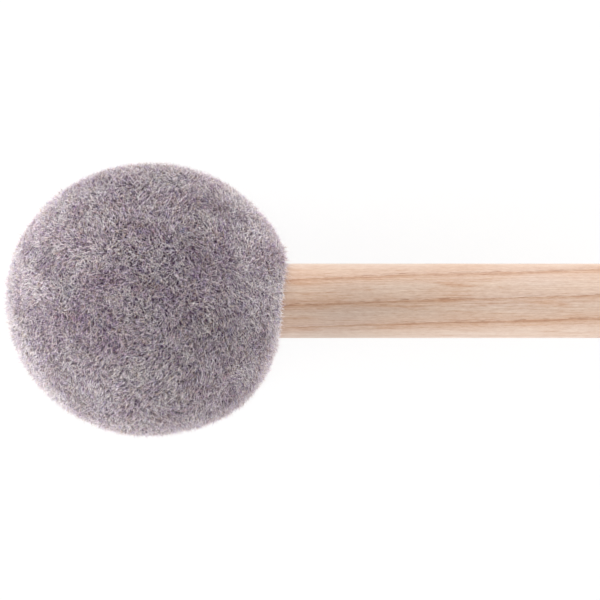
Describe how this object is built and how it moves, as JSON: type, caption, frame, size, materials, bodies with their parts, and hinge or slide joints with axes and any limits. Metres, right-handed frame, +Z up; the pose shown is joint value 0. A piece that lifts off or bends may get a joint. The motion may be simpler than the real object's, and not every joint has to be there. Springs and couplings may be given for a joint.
{
  "type": "field drum mallet",
  "caption": "Drum mallet with a ball-shaped napped felt head on a straight round wooden handle, lying on a table.",
  "frame": {"origin": "on the table, under the middle of the mallet's bounding box", "axes": "+X from the head to the butt of the handle, +Z up from the table it lies on"},
  "size_m": [0.3798, 0.0542, 0.0541],
  "materials": {
    "soft_felt": "napped wool felt, matt and hairy",
    "hard_felt": "pressed wool felt, matt",
    "hickory": "sanded and satin lacquered",
    "beech": "turned, bare",
    "zinc_plated_steel": "bright zinc plate",
    "waxed_thread": "twisted and waxed"
  },
  "bodies": {
    "root": {"shaft": "hickory", "core": "beech", "core_screw": "zinc_plated_steel", "under_felt_front": "hard_felt", "under_felt_rear": "hard_felt", "cover": "soft_felt", "gather_thread": "waxed_thread"}
  },
  "joints": []
}
